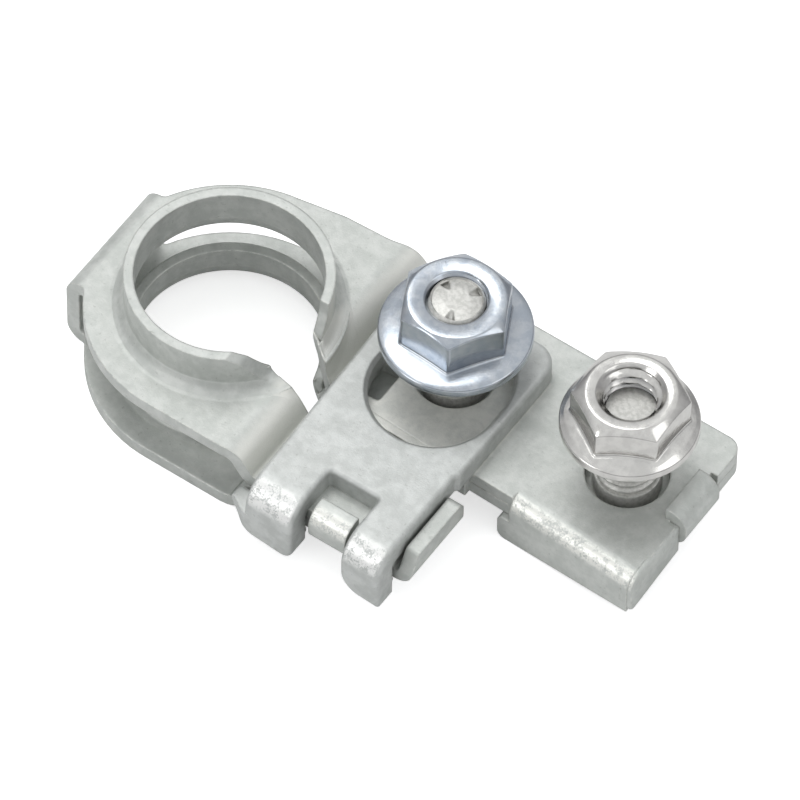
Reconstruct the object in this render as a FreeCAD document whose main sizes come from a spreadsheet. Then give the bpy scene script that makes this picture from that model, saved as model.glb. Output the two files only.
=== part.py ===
import FreeCAD, Part
import math
import os
import Sketcher

# Battery terminal clamp: a double sheet folded into a ring, two arms and a tab, closed by a hooked lever.
# Frame: Z is up along the battery post, the origin lies on the post's axis level with the top of the arms and the
# tab, where a cable lug would lie, and X points from the ring to the tab. All sizes are in millimetres. Inside
# each body heights are counted from the plane that the ring rests on; its Placement lowers it into the frame.

DIMENSIONS = {
    # Folded sheet
    "sheet_thickness": 1.5,
    "layer_gap": 0.1,
    "ring_stack": 9.3,
    "arm_top": 6.4,
    "ring_radius": 14.1,
    "bore_radius": 9.2,
    "collar_wall": 1.0,
    "upper_collar_height": 6.4,
    "lower_collar_height": 5.2,
    "collar_inner_root": 2.9,
    "collar_outer_root": 1.4,
    "lug_reach": 14.6,
    "lug_width": 13.2,
    "lug_bend": 2.0,
    "neck_rounding": 0.75,
    "ramp_start": 10.3,
    "ramp_end": 12.1,
    "ramp_bend": 1.8,
    "ramp_foot_bend": 1.3,
    # Arms and tab
    "shoulder_width": 14.85,
    "tab_rear": 16.5,
    "tab_end": 48.5,
    "tab_corner": 1.6,
    "arm_front": 13.6,
    "front_arm_end": 28.7,
    "gap_front": 4.55,
    "gap_rear": 0.75,
    "lip_height": 7.3,
    "lip_offset": 1.35,
    # Turned-down flange of the tab
    "flange_start": 34.0,
    "flange_near": 2.0,
    "flange_far": 3.0,
    "flange_bend": 1.1,
    "flange_drop_far": 1.3,
    # Hem tongues
    "hem_bend": 1.25,
    "end_tongue_reach": 49.5,
    "end_tongue_low": 5.1,
    "end_tongue_high": 10.8,
    "front_tongue_reach": 15.0,
    "front_tongue_low": 19.8,
    "front_tongue_high": 24.0,
    "tongue_return": 2.4,
    # Studs
    "stud_row": 7.4,
    "clamp_stud_place": 21.2,
    "terminal_stud_place": 41.2,
    "stud_radius": 3.0,
    "shoulder_radius": 3.3,
    "stud_hole_radius": 4.1,
    "head_side": 9.6,
    "head_bottom": 0.3,
    "clamp_stud_top": 18.6,
    "terminal_stud_top": 16.9,
    "shoulder_top": 7.0,
    # Nuts
    "nut_across_flats": 10.0,
    "nut_bore_radius": 3.06,
    "clamp_nut_bottom": 12.9,
    "clamp_nut_top": 18.8,
    "clamp_flange_radius": 7.5,
    "clamp_chamfer_radius": 4.7,
    "terminal_nut_bottom": 13.2,
    "terminal_nut_top": 19.2,
    "terminal_flange_radius": 6.75,
    "terminal_chamfer_radius": 4.35,
    "countersink_radius": 3.45,
    # Lever
    "lever_thickness": 2.5,
    "lever_bend": 1.8,
    "lever_rear": 13.7,
    "lever_left_front": 13.5,
    "lever_left_rear": 12.6,
    "lever_right_front": 29.0,
    "lever_right_rear": 29.35,
    "lever_step": 3.5,
    "lever_corner": 2.6,
    "lever_rounding": 0.5,
    "slot_bevel": 0.4,
    "lever_front": 16.7,
    "hook_bottom": 1.0,
    "notch_left": 18.9,
    "notch_right": 24.6,
    "notch_depth": 10.1,
    "slot_middle": 21.7,
    "slot_radius": 6.45,
    "slot_front": 3.3,
    "slot_rear": 5.2,
    "wing_reach": 11.2,
    "wing_top": 4.9,
}

doc = FreeCAD.newDocument("battery_terminal_clamp")


def make_sheet():
    """Write every driving dimension into the spreadsheet, under its own alias."""
    table = doc.addObject("Spreadsheet::Sheet", "dims")
    for row, (alias, value) in enumerate(DIMENSIONS.items(), start=1):
        table.set(f"A{row}", alias)
        table.set(f"B{row}", str(value))
        table.setAlias(f"B{row}", alias)
    doc.recompute()
    return table


sheet = make_sheet()


def dim(alias):
    """Read one driving dimension back from the spreadsheet."""
    return float(sheet.get(alias))


def vec(x, y, z=0.0):
    return FreeCAD.Vector(x, y, z)


# Outlines


def round_corner(before, corner, after, radius):
    """Start, middle and end of the arc that rounds a corner, and its centre."""
    back = (before - corner).normalize()
    ahead = (after - corner).normalize()
    half = back.getAngle(ahead) / 2
    reach = radius / math.tan(half)
    start = corner + back * reach
    end = corner + ahead * reach
    centre = corner + (back + ahead).normalize() * (radius / math.sin(half))
    middle = centre + (corner - centre).normalize() * radius
    return start, middle, end, centre


def rounded_loop(corners):
    """Edges of a closed outline from (x, y, radius) corners; a radius of 0 leaves the corner sharp."""
    points = [vec(x, y) for x, y, radius in corners]
    radii = [radius for x, y, radius in corners]
    count = len(points)
    starts, ends, arcs = [], [], []
    for i, radius in enumerate(radii):
        if radius == 0:
            starts.append(points[i])
            ends.append(points[i])
            continue
        start, middle, end, centre = round_corner(points[i - 1], points[i], points[(i + 1) % count], radius)
        starts.append(start)
        ends.append(end)
        arcs.append(Part.Arc(start, middle, end))
    lines = []
    for i in range(count):
        first, last = ends[i], starts[(i + 1) % count]
        if (last - first).Length > 1e-6:
            lines.append(Part.LineSegment(first, last))
    return lines + arcs


def strip_loop(path, bends, thickness):
    """Edges of a bent strip of constant thickness along a path; bends holds a mid-line radius per inner corner."""
    points = [vec(x, y) for x, y in path]
    edges = []
    tips = []
    for side in (1, -1):
        shift = side * thickness / 2
        heading = (points[1] - points[0]).normalize()
        last = points[0] + vec(-heading.y, heading.x) * shift
        tips.append(last)
        for i, radius in enumerate(bends, start=1):
            start, middle, end, centre = round_corner(points[i - 1], points[i], points[i + 1], radius)
            heading = (points[i] - points[i - 1]).normalize()
            turn_side = 1 if vec(-heading.y, heading.x).dot(centre - start) > 0 else -1
            scale = (radius - turn_side * shift) / radius
            start, middle, end = [centre + (p - centre) * scale for p in (start, middle, end)]
            if (start - last).Length > 1e-6:
                edges.append(Part.LineSegment(last, start))
            edges.append(Part.Arc(start, middle, end))
            last = end
        heading = (points[-1] - points[-2]).normalize()
        tip = points[-1] + vec(-heading.y, heading.x) * shift
        edges.append(Part.LineSegment(last, tip))
        tips.append(tip)
    edges.append(Part.LineSegment(tips[0], tips[2]))
    edges.append(Part.LineSegment(tips[1], tips[3]))
    return edges


def rectangle(left, low, right, high):
    return rounded_loop([(left, low, 0), (right, low, 0), (right, high, 0), (left, high, 0)])


# Features of a body


def make_body(label):
    """Start a body that counts its heights from the ring's resting plane."""
    body = doc.addObject("PartDesign::Body", label)
    body.Label = label
    body.setExpression(".Placement.Base.z", "-dims.arm_top")
    return body


def add_sketch(body, role, name, edges, offset=None):
    """Sketch on one of the body's own origin planes, shifted along the plane's normal by an expression."""
    sketch = body.newObject("Sketcher::SketchObject", name)
    plane = [item for item in body.Origin.OriginFeatures if item.Role == role][0]
    sketch.AttachmentSupport = [(plane, "")]
    sketch.MapMode = "FlatFace"
    if offset is not None:
        sketch.setExpression("AttachmentOffset.Base.z", offset)
    for edge in edges:
        sketch.addGeometry(edge, False)
    return sketch


def add_circle(sketch, x, y, radius_expression):
    """Circle whose radius follows the spreadsheet."""
    index = sketch.addGeometry(Part.Circle(vec(x, y), vec(0, 0, 1), 1.0), False)
    sketch.addConstraint(Sketcher.Constraint("DistanceX", -1, 1, index, 3, x))
    sketch.addConstraint(Sketcher.Constraint("DistanceY", -1, 1, index, 3, y))
    number = sketch.addConstraint(Sketcher.Constraint("Radius", index, 1.0))
    sketch.setExpression(f"Constraints[{number}]", radius_expression)


def pad(body, sketch, name, length, reverse=False, symmetric=False):
    feature = body.newObject("PartDesign::Pad", name)
    feature.Profile = sketch
    feature.setExpression("Length", length)
    feature.Reversed = reverse
    feature.SideType = "Symmetric" if symmetric else "One side"
    doc.recompute()
    return feature


def pocket(body, sketch, name, length=None, reverse=False):
    """Cut a sketch along its normal, through everything both ways if no length is given; it must remove metal."""
    before = body.Shape.Volume
    feature = body.newObject("PartDesign::Pocket", name)
    feature.Profile = sketch
    if length is None:
        feature.SideType = "Symmetric"
        feature.Type = "ThroughAll"
    else:
        feature.setExpression("Length", length)
        feature.Reversed = reverse
    doc.recompute()
    if body.Shape.Volume > before - 1e-3:
        raise RuntimeError(f"{name} cuts nothing")
    return feature


def revolve(body, sketch, name, kind="Revolution"):
    """Turn a sketch in the XZ plane once round its own vertical axis."""
    feature = body.newObject(f"PartDesign::{kind}", name)
    feature.Profile = sketch
    feature.ReferenceAxis = (sketch, ["V_Axis"])
    feature.Angle = 360
    doc.recompute()
    return feature


def dress(body, name, kind, size, wanted):
    """Fillet or chamfer every edge of the body that the test picks out."""
    base = body.Tip
    names = [f"Edge{i}" for i, edge in enumerate(base.Shape.Edges, start=1) if wanted(edge)]
    if not names:
        raise RuntimeError(f"{name} finds no edge")
    feature = body.newObject(f"PartDesign::{kind}", name)
    feature.Base = (base, names)
    setattr(feature, "Radius" if kind == "Fillet" else "Size", size)
    doc.recompute()
    return feature


# Clamp body


def sheet_levels():
    """Mid-line heights of the two layers, at the ring and at the arms."""
    half = dim("sheet_thickness") / 2
    upper_ring = dim("ring_stack") - half
    upper_arm = dim("arm_top") - half
    lower_arm = upper_arm - dim("sheet_thickness") - dim("layer_gap")
    return upper_ring, upper_arm, half, lower_arm


def fold_sheet(body):
    """Side profile of the folded sheet: tab, ramp, ring, fold at the lug, and the same way back below."""
    upper_ring, upper_arm, lower_ring, lower_arm = sheet_levels()
    thickness = dim("sheet_thickness")
    lug = thickness / 2 - dim("lug_reach")
    end, ramp_out, ramp_in = dim("tab_end"), dim("ramp_end"), dim("ramp_start")
    path = [
        (end, upper_arm), (ramp_out, upper_arm), (ramp_in, upper_ring), (lug, upper_ring),
        (lug, lower_ring), (ramp_in, lower_ring), (ramp_out, lower_arm), (end, lower_arm),
    ]
    ramp, foot, fold = dim("ramp_bend"), dim("ramp_foot_bend"), dim("lug_bend") - thickness / 2
    bends = [foot, ramp, fold, fold, ramp, foot]
    sketch = add_sketch(body, "XZ_Plane", "fold_profile", strip_loop(path, bends, thickness))
    pad(body, sketch, "folded_sheet", "4 * dims.tab_rear", symmetric=True)


def neck_arc(side):
    """Rounding where the ring meets the lug: its end on the ring, its middle and its end on the lug."""
    ring, half_lug, radius = dim("ring_radius"), dim("lug_width") / 2, dim("neck_rounding")
    centre = vec(-math.sqrt((ring + radius) ** 2 - (half_lug + radius) ** 2), side * (half_lug + radius))
    on_ring = centre * (ring / (ring + radius))
    on_lug = vec(centre.x, side * half_lug)
    outward = ((on_ring - centre).normalize() + (on_lug - centre).normalize()).normalize()
    return on_ring, centre + outward * radius, on_lug


def at_angle(radius, degrees):
    angle = math.radians(degrees)
    return vec(radius * math.cos(angle), radius * math.sin(angle))


def trim_outline(body):
    """Cut the folded sheet back to its outline in plan."""
    ring, half_lug = dim("ring_radius"), dim("lug_width") / 2
    front, rear, shoulder = dim("arm_front"), dim("tab_rear"), dim("shoulder_width")
    end = dim("tab_end")
    outside = 1.5 * end
    away = -dim("lug_reach") - 2
    front_neck, rear_neck = neck_arc(-1), neck_arc(1)
    leave = at_angle(ring, 97)
    edges = [Part.Arc(*front_neck), Part.Arc(*rear_neck)]
    edges.append(Part.Arc(front_neck[0], at_angle(ring, 240), vec(0, -ring)))
    edges.append(Part.Arc(leave, at_angle(ring, 125), rear_neck[0]))
    corners = [(leave.x, leave.y, 0), (3.2, shoulder, 5), (8.6, shoulder + 0.25, 8), (13.6, rear, 5)]
    rear_line = rounded_loop(corners + [(end, rear, dim("tab_corner")), (end, 0, 0), (0, 0, 0)])
    edges += [edge for edge in rear_line if not touches_line(edge, end)]
    front_line = [
        vec(0, -ring), vec(dim("ramp_start") - 1.5, -ring), vec(dim("ramp_end") + 1.5, -front),
        vec(outside, -front), vec(outside, rear / 2), vec(end, rear / 2), vec(end, rear - dim("tab_corner")),
    ]
    lug = [front_neck[2], vec(away, -half_lug), vec(away, half_lug), rear_neck[2]]
    for line in (front_line, lug):
        edges += [Part.LineSegment(a, b) for a, b in zip(line, line[1:])]
    edges += rectangle(-outside, -outside, 2 * outside, outside)
    sketch = add_sketch(body, "XY_Plane", "plan_outline", edges)
    pocket(body, sketch, "trimmed_outline")


def touches_line(edge, end):
    """True for the closing edges of the rear outline, which the plan draws by itself."""
    a, b = edge.StartPoint, edge.EndPoint
    return min(a.y, b.y) < 1e-6 or (abs(a.x - end) < 1e-6 and abs(b.x - end) < 1e-6)


def cut_gap(body):
    """Open the ring and part the two arms; the gap runs out past the end of the front arm."""
    front, rear = dim("gap_front"), dim("gap_rear")
    end = dim("front_arm_end")
    far = dim("tab_end") + 2
    corners = [
        (0, -front, 0), (end, -front - 0.2, 0.4), (end, -3 * dim("arm_front"), 0), (far, -3 * dim("arm_front"), 0),
        (far, -rear - 1.05, 0), (dim("ramp_end"), -rear, 2), (9.6, rear, 1.5), (0, rear, 0),
    ]
    sketch = add_sketch(body, "XY_Plane", "gap_outline", rounded_loop(corners))
    pocket(body, sketch, "arm_gap")


def open_bores(body):
    """Cut the post's bore through both plates."""
    sketch = add_sketch(body, "XY_Plane", "bore_outline", [])
    add_circle(sketch, 0, 0, "dims.bore_radius")
    pocket(body, sketch, "bore")


def cut_front_run_out(body, level, height, name):
    """Let a collar's rim run down to its plate on the front arm's side of the gap."""
    plate = level + dim("sheet_thickness")
    top = level + height + 0.1
    outer = dim("bore_radius") + dim("collar_wall") + 0.1
    corners = [
        (5.4, top, 0), (6.6, top - 0.9, 2), (8.3, plate + 0.9, 2), (outer, plate, 0), (outer, top, 0),
    ]
    sketch = add_sketch(body, "XZ_Plane", f"{name}_outline", rounded_loop(corners), "2")
    pocket(body, sketch, name, "dims.ring_radius - 2", reverse=True)


def cut_rear_run_out(body, level, height, name):
    """Shape the free end of a collar on the rear arm's side: it leans back from the plate to the rim."""
    plate = level + dim("sheet_thickness")
    top = level + height + 0.1
    rear = dim("gap_rear")
    corners = [
        (-dim("gap_front"), top, 0), (2.5, top, 0), (2.1, top - 1.4, 1.0), (rear + 0.15, plate + 1.6, 1.0),
        (rear, plate + 0.1, 0), (-dim("gap_front"), plate + 0.1, 0),
    ]
    sketch = add_sketch(body, "YZ_Plane", f"{name}_outline", rounded_loop(corners), "5")
    pocket(body, sketch, name, "dims.bore_radius + dims.collar_wall - 4.9", reverse=True)


def add_collar(body, name, level, height):
    """Draw one collar up out of its plate, whose underside lies at the level."""
    sketch = add_sketch(body, "XY_Plane", f"{name}_outline", [], f"{level} + dims.sheet_thickness / 2")
    add_circle(sketch, 0, 0, "dims.bore_radius")
    add_circle(sketch, 0, 0, "dims.bore_radius + dims.collar_wall")
    pad(body, sketch, name, f"{height} - dims.sheet_thickness / 2")


def root_section(centre, radius, steps):
    """Quarter turn in straight steps from a collar's wall to its plate, closed by a corner inside the metal."""
    turn = [centre + at_angle(radius, 180 + 90 * step / steps) for step in range(steps + 1)]
    cover = 0.6
    corner = vec(turn[0].x - cover, turn[-1].y - cover)
    loop = turn + [vec(turn[-1].x, corner.y), corner, vec(corner.x, turn[0].y)]
    return [Part.LineSegment(a, b) for a, b in zip(loop, loop[1:] + loop[:1])]


def add_roots(body, level, name):
    """Where the plate bends up into the collar: a fillet outside, the bore's lower edge rounded off inside."""
    inner, outer = dim("bore_radius"), dim("bore_radius") + dim("collar_wall")
    radius = dim("collar_outer_root")
    section = root_section(vec(outer + radius, level + dim("sheet_thickness") + radius), radius, 3)
    revolve(body, add_sketch(body, "XZ_Plane", f"{name}_outer_root_section", section), f"{name}_outer_root")
    radius = dim("collar_inner_root")
    section = root_section(vec(inner + radius, level + radius), radius, 3)
    revolve(body, add_sketch(body, "XZ_Plane", f"{name}_inner_root_section", section), f"{name}_inner_root", "Groove")


def add_collars(body):
    """Both collars point upwards; their rims run out where the ring is open and their roots are rounded."""
    add_collar(body, "upper_collar", "dims.ring_stack - dims.sheet_thickness", "dims.upper_collar_height")
    add_collar(body, "lower_collar", "0", "dims.lower_collar_height")
    for name, level in (("upper", dim("ring_stack") - dim("sheet_thickness")), ("lower", 0)):
        add_roots(body, level, name)
        height = dim(f"{name}_collar_height")
        cut_front_run_out(body, level, height, f"{name}_front_run_out")
        cut_rear_run_out(body, level, height, f"{name}_rear_run_out")


def add_flange(body):
    """Turn the tab's front edge down; in plan the fold leans a little away from the tab's rear edge."""
    upper_arm = sheet_levels()[1]
    half = dim("sheet_thickness") / 2
    start, end = dim("flange_start"), dim("tab_end")
    room = rectangle(start, -2 * dim("gap_front"), end + 2, 0.6)
    pocket(body, add_sketch(body, "XY_Plane", "flange_room", room), "flange_relief")
    sections = []
    places = (
        ("near", "dims.flange_start", dim("flange_near"), 0.0),
        ("far", "dims.tab_end - 0.25", dim("flange_far"), dim("flange_drop_far")),
    )
    for name, offset, reach, bottom in places:
        path = [(1.5, upper_arm), (half - reach, upper_arm), (half - reach, bottom)]
        edges = strip_loop(path, [dim("flange_bend")], 2 * half)
        sections.append(add_sketch(body, "YZ_Plane", f"flange_section_{name}", edges, offset))
    loft = body.newObject("PartDesign::AdditiveLoft", "flange")
    loft.Profile = sections[0]
    loft.Sections = sections[1:]
    loft.Ruled = True
    doc.recompute()
    lower = sheet_levels()[3] - half
    ear = rounded_loop([
        (start - 1.3, lower - 0.1, 0.5), (start + 0.5, lower - 0.1, 0), (start + 0.5, 0, 0), (start - 1.3, 0, 1.0),
    ])
    sketch = add_sketch(body, "XZ_Plane", "flange_ear_outline", ear, "dims.flange_near - dims.sheet_thickness")
    pad(body, sketch, "flange_ear", "dims.sheet_thickness")


def add_end_tongue(body):
    """Tongue of the lower layer folded over the tab's free end, in a notch of the upper layer."""
    lower_arm = sheet_levels()[3]
    half = dim("sheet_thickness") / 2
    low, high = dim("end_tongue_low"), dim("end_tongue_high")
    wall = dim("end_tongue_reach") - half
    notch = rectangle(wall - half - 0.3, low - 0.3, wall + 3, high + 1.2)
    sketch = add_sketch(body, "XY_Plane", "end_notch_outline", notch, "dims.arm_top - dims.sheet_thickness - 0.05")
    pocket(body, sketch, "end_notch", "2 * dims.sheet_thickness", reverse=True)
    top = dim("arm_top") + half + 0.05
    path = [(wall - 2, lower_arm), (wall, lower_arm), (wall, top), (wall - dim("tongue_return") + half, top)]
    edges = strip_loop(path, [dim("hem_bend"), dim("hem_bend")], 2 * half)
    sketch = add_sketch(body, "XZ_Plane", "end_tongue_section", edges, "-dims.end_tongue_high")
    pad(body, sketch, "end_tongue", "dims.end_tongue_high - dims.end_tongue_low")


def add_front_tongue(body):
    """Tongue of the lower layer folded over the front arm's edge, between the lever's hooks."""
    lower_arm = sheet_levels()[3]
    half = dim("sheet_thickness") / 2
    low, high = dim("front_tongue_low"), dim("front_tongue_high")
    wall = half - dim("front_tongue_reach")
    notch = rectangle(low - 0.4, -2 * dim("arm_front"), high + 0.4, wall + half + 0.15)
    sketch = add_sketch(body, "XY_Plane", "front_notch_outline", notch, "dims.arm_top - dims.sheet_thickness - 0.05")
    pocket(body, sketch, "front_notch", "2 * dims.sheet_thickness", reverse=True)
    top = dim("arm_top") + half + 0.05
    path = [(wall + 2.2, lower_arm), (wall, lower_arm), (wall, top), (wall + dim("tongue_return") - half, top)]
    edges = strip_loop(path, [dim("hem_bend"), dim("hem_bend")], 2 * half)
    sketch = add_sketch(body, "YZ_Plane", "front_tongue_section", edges, "dims.front_tongue_low")
    pad(body, sketch, "front_tongue", "dims.front_tongue_high - dims.front_tongue_low")


def add_lip(body):
    """End of the front arm: the lower layer is turned up beside the end of the upper one."""
    lower_arm = sheet_levels()[3]
    half = dim("sheet_thickness") / 2
    wall = dim("front_arm_end") + dim("lip_offset")
    path = [(wall - 2.5, lower_arm), (wall, lower_arm), (wall, dim("lip_height"))]
    edges = strip_loop(path, [dim("hem_bend")], 2 * half)
    sketch = add_sketch(body, "XZ_Plane", "lip_section", edges, "dims.gap_front + 0.4")
    pad(body, sketch, "lip", "dims.arm_front - dims.gap_front - 0.4")
    top, rear, front = dim("lip_height"), -dim("gap_front") - 0.4, -dim("arm_front")
    low = lower_arm + half
    corners = [
        (front - 1, low, 0), (front - 0.1, low, 0), (front + 1.3, top, 0.5), (rear, top, 0.8), (rear, low, 0),
        (rear + 1, low, 0), (rear + 1, top + 1, 0), (front - 1, top + 1, 0),
    ]
    sketch = add_sketch(body, "YZ_Plane", "lip_end_outline", rounded_loop(corners), "dims.front_arm_end + 0.3")
    pocket(body, sketch, "lip_ends", "2 * dims.sheet_thickness", reverse=True)


def cut_stud_holes(body):
    """A wide hole in the upper layer and a fitting one in the lower layer for each stud, and the side window."""
    places = (("clamp", dim("clamp_stud_place")), ("terminal", dim("terminal_stud_place")))
    for name, place in places:
        fitting = add_sketch(body, "XY_Plane", f"{name}_fit_outline", [])
        add_circle(fitting, place, dim("stud_row"), "dims.shoulder_radius")
        pocket(body, fitting, f"{name}_fit_hole")
        wide = add_sketch(body, "XY_Plane", f"{name}_hole_outline", [], "dims.arm_top - dims.sheet_thickness - 0.05")
        add_circle(wide, place, dim("stud_row"), "dims.stud_hole_radius")
        pocket(body, wide, f"{name}_hole", "2 * dims.sheet_thickness", reverse=True)
    window = rounded_loop([(14.7, 0.5, 0.5), (17.1, 0.5, 0.4), (17.1, 4.6, 0.4), (14.7, 4.6, 0.5)])
    sketch = add_sketch(body, "XY_Plane", "window_outline", window, "dims.arm_top - dims.sheet_thickness - 0.05")
    pocket(body, sketch, "side_window", "2 * dims.sheet_thickness", reverse=True)


def make_clamp_body():
    body = make_body("clamp_body")
    fold_sheet(body)
    trim_outline(body)
    open_bores(body)
    add_collars(body)
    cut_gap(body)
    add_flange(body)
    add_end_tongue(body)
    add_front_tongue(body)
    add_lip(body)
    cut_stud_holes(body)
    return body


# Lever


def lever_outline():
    """Plan of the lever: rounded rear corners, a small step out on the right behind the front arm's lip."""
    rear, corner = dim("lever_rear"), dim("lever_corner")
    front = -dim("lever_front") - 2
    right, step = dim("lever_right_front"), -dim("lever_step")
    return rounded_loop([
        (dim("lever_left_front"), front, 0), (right, front, 0), (right, step - 0.4, 0.3),
        (dim("lever_right_rear"), step, 0.3), (dim("lever_right_rear"), rear, corner),
        (dim("lever_left_rear"), rear, corner), (dim("lever_left_front"), -dim("arm_front"), 0),
    ])


def slot_loop():
    """Oval opening round the stud: two half circles joined by straight sides."""
    x, radius = dim("slot_middle"), dim("slot_radius")
    front, rear = dim("slot_front"), dim("slot_rear")
    return [
        Part.Arc(vec(x - radius, front), vec(x, front - radius), vec(x + radius, front)),
        Part.LineSegment(vec(x + radius, front), vec(x + radius, rear)),
        Part.Arc(vec(x + radius, rear), vec(x, rear + radius), vec(x - radius, rear)),
        Part.LineSegment(vec(x - radius, rear), vec(x - radius, front)),
    ]


def make_lever():
    """Hooked saddle: a thick plate over both arms whose front is bent down into two hooks."""
    body = make_body("clamping_lever")
    thickness = dim("lever_thickness")
    middle = dim("arm_top") + thickness / 2
    leg = thickness / 2 - dim("lever_front")
    path = [(dim("lever_rear"), middle), (leg, middle), (leg, dim("hook_bottom"))]
    edges = strip_loop(path, [dim("lever_bend")], thickness)
    pad(body, add_sketch(body, "YZ_Plane", "lever_profile", edges), "bent_plate", "dims.lever_right_rear + 2")
    outside = rectangle(-9, -30, 60, 30)
    pocket(body, add_sketch(body, "XY_Plane", "lever_outline", outside + lever_outline()), "lever_trim")
    notch = rounded_loop([
        (dim("notch_left"), -30, 0), (dim("notch_right"), -30, 0),
        (dim("notch_right"), -dim("notch_depth"), 0.4), (dim("notch_left"), -dim("notch_depth"), 0.4),
    ])
    pocket(body, add_sketch(body, "XY_Plane", "notch_outline", notch), "notch")
    pocket(body, add_sketch(body, "XY_Plane", "slot_outline", slot_loop()), "slot")
    add_wing(body)
    shape_hooks(body)
    ease_lever_edges(body)
    add_grips(body)
    return body


def add_wing(body):
    """Ear on the left hook that reaches past the arm, cut off slantwise at its front."""
    reach, top = dim("wing_reach"), dim("wing_top")
    inside = dim("lever_left_front") + 0.5
    wing = rounded_loop([(reach, top, 0.4), (inside, top, 0), (inside, dim("hook_bottom"), 0), (reach, dim("hook_bottom"), 0)])
    sketch = add_sketch(body, "XZ_Plane", "wing_outline", wing, "dims.lever_front - dims.lever_thickness")
    pad(body, sketch, "wing", "dims.lever_thickness")
    front = -dim("lever_front")
    slant = rounded_loop([(reach - 2.3, front + 2.6, 0), (reach + 4.5, front - 1.3, 0), (reach - 2.3, front - 1.3, 0)])
    pocket(body, add_sketch(body, "XY_Plane", "wing_slant_outline", slant), "wing_slant")


def ease_lever_edges(body):
    """Bevel the opening's edges, round the outer ones, and relieve the lower left edge that lies by the ramp."""
    dress(body, "slot_bevel", "Chamfer", dim("slot_bevel"), lambda e: round_slot(e) and is_sharp(body.Tip.Shape, e))
    base = body.Tip.Shape
    dress(body, "outer_rounding", "Fillet", dim("lever_rounding"), lambda e: faces_out(e) and is_sharp(base, e))
    top = dim("arm_top")
    inside = dim("lever_left_rear") + 0.5
    corner = rounded_loop([(inside, top - 0.1, 0), (inside - 1.1, top + 0.9, 0), (inside - 1.1, top - 0.1, 0)])
    pocket(body, add_sketch(body, "XZ_Plane", "ramp_relief_outline", corner), "ramp_relief", "dims.lever_rear + 1")


def round_slot(edge):
    """True for the edges of the opening, above and below, bevelled or not."""
    box = edge.BoundBox
    reach = dim("slot_radius") + dim("slot_bevel") + 0.1
    along = dim("slot_middle") - reach < box.XMin and box.XMax < dim("slot_middle") + reach
    return along and box.YMin > dim("slot_front") - reach and box.YMax < dim("slot_rear") + reach


def faces_out(edge):
    """True for the edges of the lever's top, of its outer bend and of the hooks' front, apart from the wing's."""
    box = edge.BoundBox
    on_wing = box.XMax < dim("lever_left_front") + 0.1 and box.ZMax < dim("wing_top") + 0.1
    top = dim("arm_top") + dim("lever_thickness") - 0.1
    front = 0.1 - dim("lever_front")
    upper = box.ZMin > top or (box.ZMax > top and box.YMax < front + dim("lever_bend") + dim("lever_thickness") / 2 + 0.1)
    return (upper or box.YMax < front) and not round_slot(edge) and not on_wing


def add_grips(body):
    """Small ridge inside each hook that reaches under the edge of the front arm."""
    inside = dim("lever_thickness") - dim("lever_front")
    places = (("left", "dims.lever_left_front + 0.9", 4.0, 1.9), ("right", "dims.lever_right_front - 2.6", 2.1, 2.2))
    for name, offset, width, low in places:
        ridge = rounded_loop([(inside - 0.4, low, 0), (inside + 0.9, low, 0.3), (inside + 0.9, 2.9, 0.3), (inside - 0.4, 2.9, 0)])
        pad(body, add_sketch(body, "YZ_Plane", f"{name}_grip_profile", ridge, offset), f"{name}_grip", f"{width}")


def shape_hooks(body):
    """Round the hooks off as seen from the front: the left one rises into the wing, the right one is cut back."""
    left, right = dim("notch_left"), dim("notch_right")
    below = -5
    corners = [
        (5, below, 0), (5, 4.4, 0), (11.0, 4.3, 0), (12.4, 3.3, 1.0), (13.8, 1.75, 1.5), (left, 1.2, 1.1),
        (left, 5, 0), (right, 5, 0), (right, 2.1, 2.4), (35, 1.4, 0), (35, below, 0),
    ]
    sketch = add_sketch(body, "XZ_Plane", "hook_outline", rounded_loop(corners), "dims.arm_front - 1")
    pocket(body, sketch, "hook_shape", "3 * dims.lever_thickness", reverse=True)


def is_sharp(shape, edge):
    """True where two faces meet at more than a slight angle."""
    faces = shape.ancestorsOfType(edge, Part.Face)
    middle = edge.valueAt((edge.FirstParameter + edge.LastParameter) / 2)
    normals = [face.normalAt(*face.Surface.parameter(middle)) for face in faces]
    return len(normals) == 2 and normals[0].getAngle(normals[1]) > math.radians(20)


# Studs and nuts


def place_on_row(body, place):
    """Stand a body on the row of studs."""
    body.setExpression(".Placement.Base.x", f"dims.{place}")
    body.setExpression(".Placement.Base.y", "dims.stud_row")


def make_stud(label, place, top):
    """Square head under the arms, plain shoulder in the sheet, shank with a chamfered end."""
    body = make_body(label)
    half = dim("head_side") / 2
    head = rectangle(-half, -half, half, half)
    sketch = add_sketch(body, "XY_Plane", f"{label}_head_outline", head, "dims.head_bottom")
    pad(body, sketch, f"{label}_head", "dims.arm_top - 2 * dims.sheet_thickness - dims.layer_gap - dims.head_bottom")
    for part, radius, end in (("shoulder", "dims.shoulder_radius", "dims.shoulder_top"), ("shank", "dims.stud_radius", top)):
        sketch = add_sketch(body, "XY_Plane", f"{label}_{part}_outline", [], "dims.head_bottom")
        add_circle(sketch, 0, 0, radius)
        pad(body, sketch, f"{label}_{part}", f"{end} - dims.head_bottom")
    end_height = dim(top.replace("dims.", ""))
    dress(body, f"{label}_end_chamfer", "Chamfer", 0.4, lambda e: is_circle_at(e, end_height, dim("stud_radius")))
    place_on_row(body, place)
    return body


def is_circle_at(edge, z, radius):
    curve = edge.Curve
    return isinstance(curve, Part.Circle) and abs(curve.Radius - radius) < 1e-3 and abs(curve.Center.z - z) < 1e-3


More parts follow.
